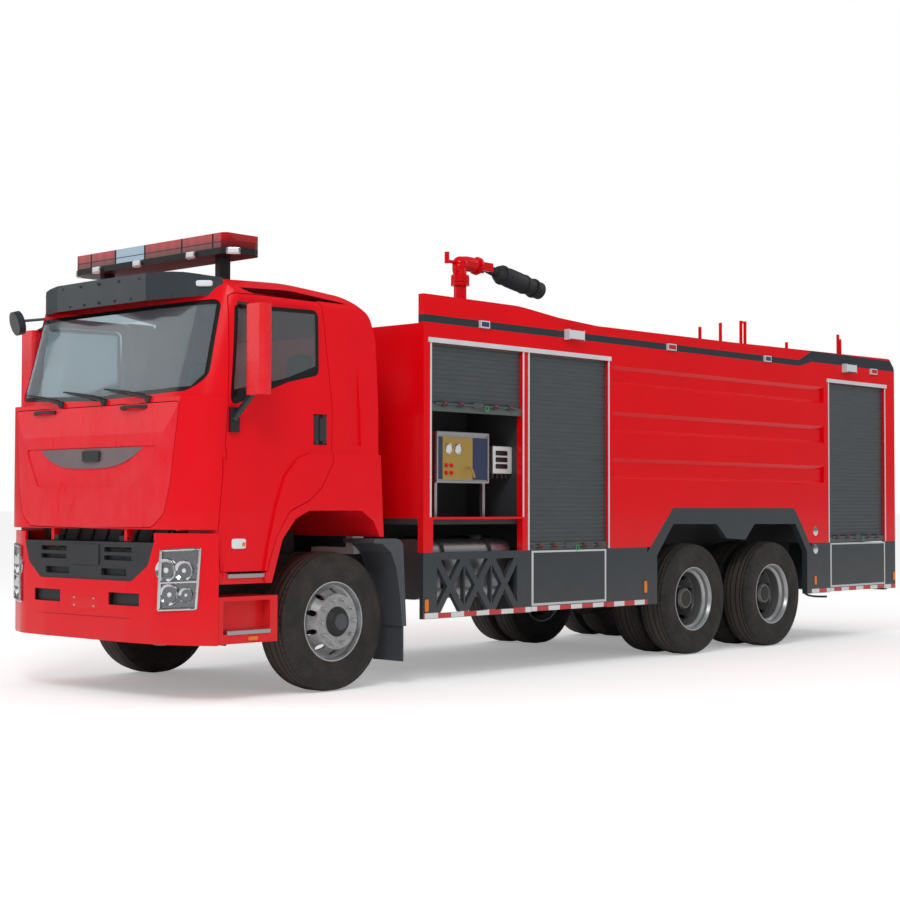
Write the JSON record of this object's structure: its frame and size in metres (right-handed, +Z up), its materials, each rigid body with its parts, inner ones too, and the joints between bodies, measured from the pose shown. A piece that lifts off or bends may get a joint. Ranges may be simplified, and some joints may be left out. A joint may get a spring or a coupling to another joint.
{
  "type": "foam fire truck",
  "caption": "Foam fire truck on a three axle chassis with a tilting cab, roller shutter lockers, folding step flaps and a roof monitor that turns and lifts.",
  "frame": {"origin": "on the ground, under the middle of the overall box", "axes": "+X to the truck's left (driver's side), +Y to the rear, +Z up"},
  "size_m": [2.99, 9.92, 3.6928],
  "materials": {
    "red_paint": "gloss",
    "grey_paint": "satin",
    "black_paint": "satin",
    "silver_paint": "satin",
    "aluminium": "brushed",
    "black_plastic": "matte",
    "grey_plastic": "matte",
    "red_plastic": "gloss",
    "clear_lamp": "clear",
    "glass": "tinted",
    "seat_fabric": "woven",
    "tyre": "rubber",
    "cast": "rough",
    "slats": "satin"
  },
  "bodies": {
    "chassis": {"arch_trims": "grey_paint", "axles": "cast", "body_ends": "red_paint", "body_frame": "silver_paint", "body_lamps": "clear_lamp", "body_sides": "red_paint", "bumper": "red_paint", "drive_shafts": "black_paint", "engine_block": "cast", "frame_rails": "black_paint", "front_mudguards": "grey_plastic", "fuel_tank": "aluminium", "headlamps": "clear_lamp", "intake_duct": "grey_plastic", "leaf_springs": "black_paint", "lower_grille": "black_plastic", "lower_lockers": "aluminium", "lower_steps": "red_paint", "monitor_riser": "red_paint", "pump_controls": "aluminium", "radiator": "black_paint", "rear_ladder": "aluminium", "roof_deck": "silver_paint", "roof_posts": "red_paint", "shutter_frames": "aluminium", "shutters": "slats", "skirts": "grey_paint"},
    "cab": {"cab_shell": "red_paint", "cab_glass": "glass", "sun_visor": "grey_paint", "light_bar": "red_plastic", "dashboard": "grey_plastic", "seats": "seat_fabric"},
    "front_panel": {"front_panel": "red_paint"},
    "monitor_head": {"monitor_head": "red_paint"},
    "monitor_barrel": {"monitor_barrel": "black_paint"},
    "door_left": {"door_left": "red_paint", "door_glass_left": "glass", "mirror_left": "red_plastic"},
    "knuckle_left": {"knuckle_left": "cast"},
    "wheel_front_left": {"tyre_front_left": "tyre", "rim_front_left": "silver_paint"},
    "wheels_rear_1_left": {"tyres_rear_1_left": "tyre", "rims_rear_1_left": "silver_paint"},
    "wheels_rear_2_left": {"tyres_rear_2_left": "tyre", "rims_rear_2_left": "silver_paint"},
    "flap_mid_left": {"flap_mid_left": "grey_paint"},
    "flap_rear_left": {"flap_rear_left": "grey_paint"},
    "door_right": {"door_right": "red_paint", "door_glass_right": "glass", "mirror_right": "red_plastic"},
    "knuckle_right": {"knuckle_right": "cast"},
    "wheel_front_right": {"tyre_front_right": "tyre", "rim_front_right": "silver_paint"},
    "wheels_rear_1_right": {"tyres_rear_1_right": "tyre", "rims_rear_1_right": "silver_paint"},
    "wheels_rear_2_right": {"tyres_rear_2_right": "tyre", "rims_rear_2_right": "silver_paint"},
    "flap_mid_right": {"flap_mid_right": "grey_paint"},
    "flap_rear_right": {"flap_rear_right": "grey_paint"}
  },
  "joints": [
    {"name": "cab_tilt", "type": "hinge", "parent": "chassis", "child": "cab", "pos_m": [0, -4.908, 1.145], "axis": [1, 0, 0], "range_deg": [0, 40]},
    {"name": "front_panel_lift", "type": "hinge", "parent": "cab", "child": "front_panel", "pos_m": [0, -4.889, 2.115], "axis": [-1, 0, 0], "range_deg": [0, 60]},
    {"name": "monitor_turn", "type": "hinge", "parent": "chassis", "child": "monitor_head", "pos_m": [0, -0.88, 3.433], "axis": [0, 0, 1], "range_deg": [-170, 170]},
    {"name": "monitor_raise", "type": "hinge", "parent": "monitor_head", "child": "monitor_barrel", "pos_m": [0, -0.54, 3.6], "axis": [1, 0, 0], "range_deg": [0, 95]},
    {"name": "door_left_open", "type": "hinge", "parent": "cab", "child": "door_left", "pos_m": [1.218, -4.652, 1.5], "axis": [0, 0, -1], "range_deg": [0, 70]},
    {"name": "steer_left", "type": "hinge", "parent": "chassis", "child": "knuckle_left", "pos_m": [0.872, -3.54, 0.522], "axis": [0, 0, 1], "range_deg": [-40, 40]},
    {"name": "spin_front_left", "type": "hinge", "parent": "knuckle_left", "child": "wheel_front_left", "pos_m": [1.032, -3.54, 0.522], "axis": [1, 0, 0], "continuous": true},
    {"name": "spin_rear_1_left", "type": "hinge", "parent": "chassis", "child": "wheels_rear_1_left", "pos_m": [1.09, 1.06, 0.522], "axis": [1, 0, 0], "continuous": true},
    {"name": "spin_rear_2_left", "type": "hinge", "parent": "chassis", "child": "wheels_rear_2_left", "pos_m": [1.09, 2.43, 0.522], "axis": [1, 0, 0], "continuous": true},
    {"name": "flap_mid_left_fold", "type": "hinge", "parent": "chassis", "child": "flap_mid_left", "pos_m": [1.242, -0.839, 0.515], "axis": [0, 1, 0], "range_deg": [0, 90]},
    {"name": "flap_rear_left_fold", "type": "hinge", "parent": "chassis", "child": "flap_rear_left", "pos_m": [1.242, 4.091, 0.515], "axis": [0, 1, 0], "range_deg": [0, 90]},
    {"name": "door_right_open", "type": "hinge", "parent": "cab", "child": "door_right", "pos_m": [-1.218, -4.652, 1.5], "axis": [0, 0, 1], "range_deg": [0, 70]},
    {"name": "steer_right", "type": "hinge", "parent": "chassis", "child": "knuckle_right", "pos_m": [-0.872, -3.54, 0.522], "axis": [0, 0, 1], "range_deg": [-40, 40]},
    {"name": "spin_front_right", "type": "hinge", "parent": "knuckle_right", "child": "wheel_front_right", "pos_m": [-1.032, -3.54, 0.522], "axis": [1, 0, 0], "continuous": true},
    {"name": "spin_rear_1_right", "type": "hinge", "parent": "chassis", "child": "wheels_rear_1_right", "pos_m": [-1.09, 1.06, 0.522], "axis": [1, 0, 0], "continuous": true},
    {"name": "spin_rear_2_right", "type": "hinge", "parent": "chassis", "child": "wheels_rear_2_right", "pos_m": [-1.09, 2.43, 0.522], "axis": [1, 0, 0], "continuous": true},
    {"name": "flap_mid_right_fold", "type": "hinge", "parent": "chassis", "child": "flap_mid_right", "pos_m": [-1.242, -0.839, 0.515], "axis": [0, -1, 0], "range_deg": [0, 90]},
    {"name": "flap_rear_right_fold", "type": "hinge", "parent": "chassis", "child": "flap_rear_right", "pos_m": [-1.242, 4.091, 0.515], "axis": [0, -1, 0], "range_deg": [0, 90]}
  ],
  "couplings": [
    {"joint": "steer_right", "follows": "steer_left", "ratio": 1}
  ]
}
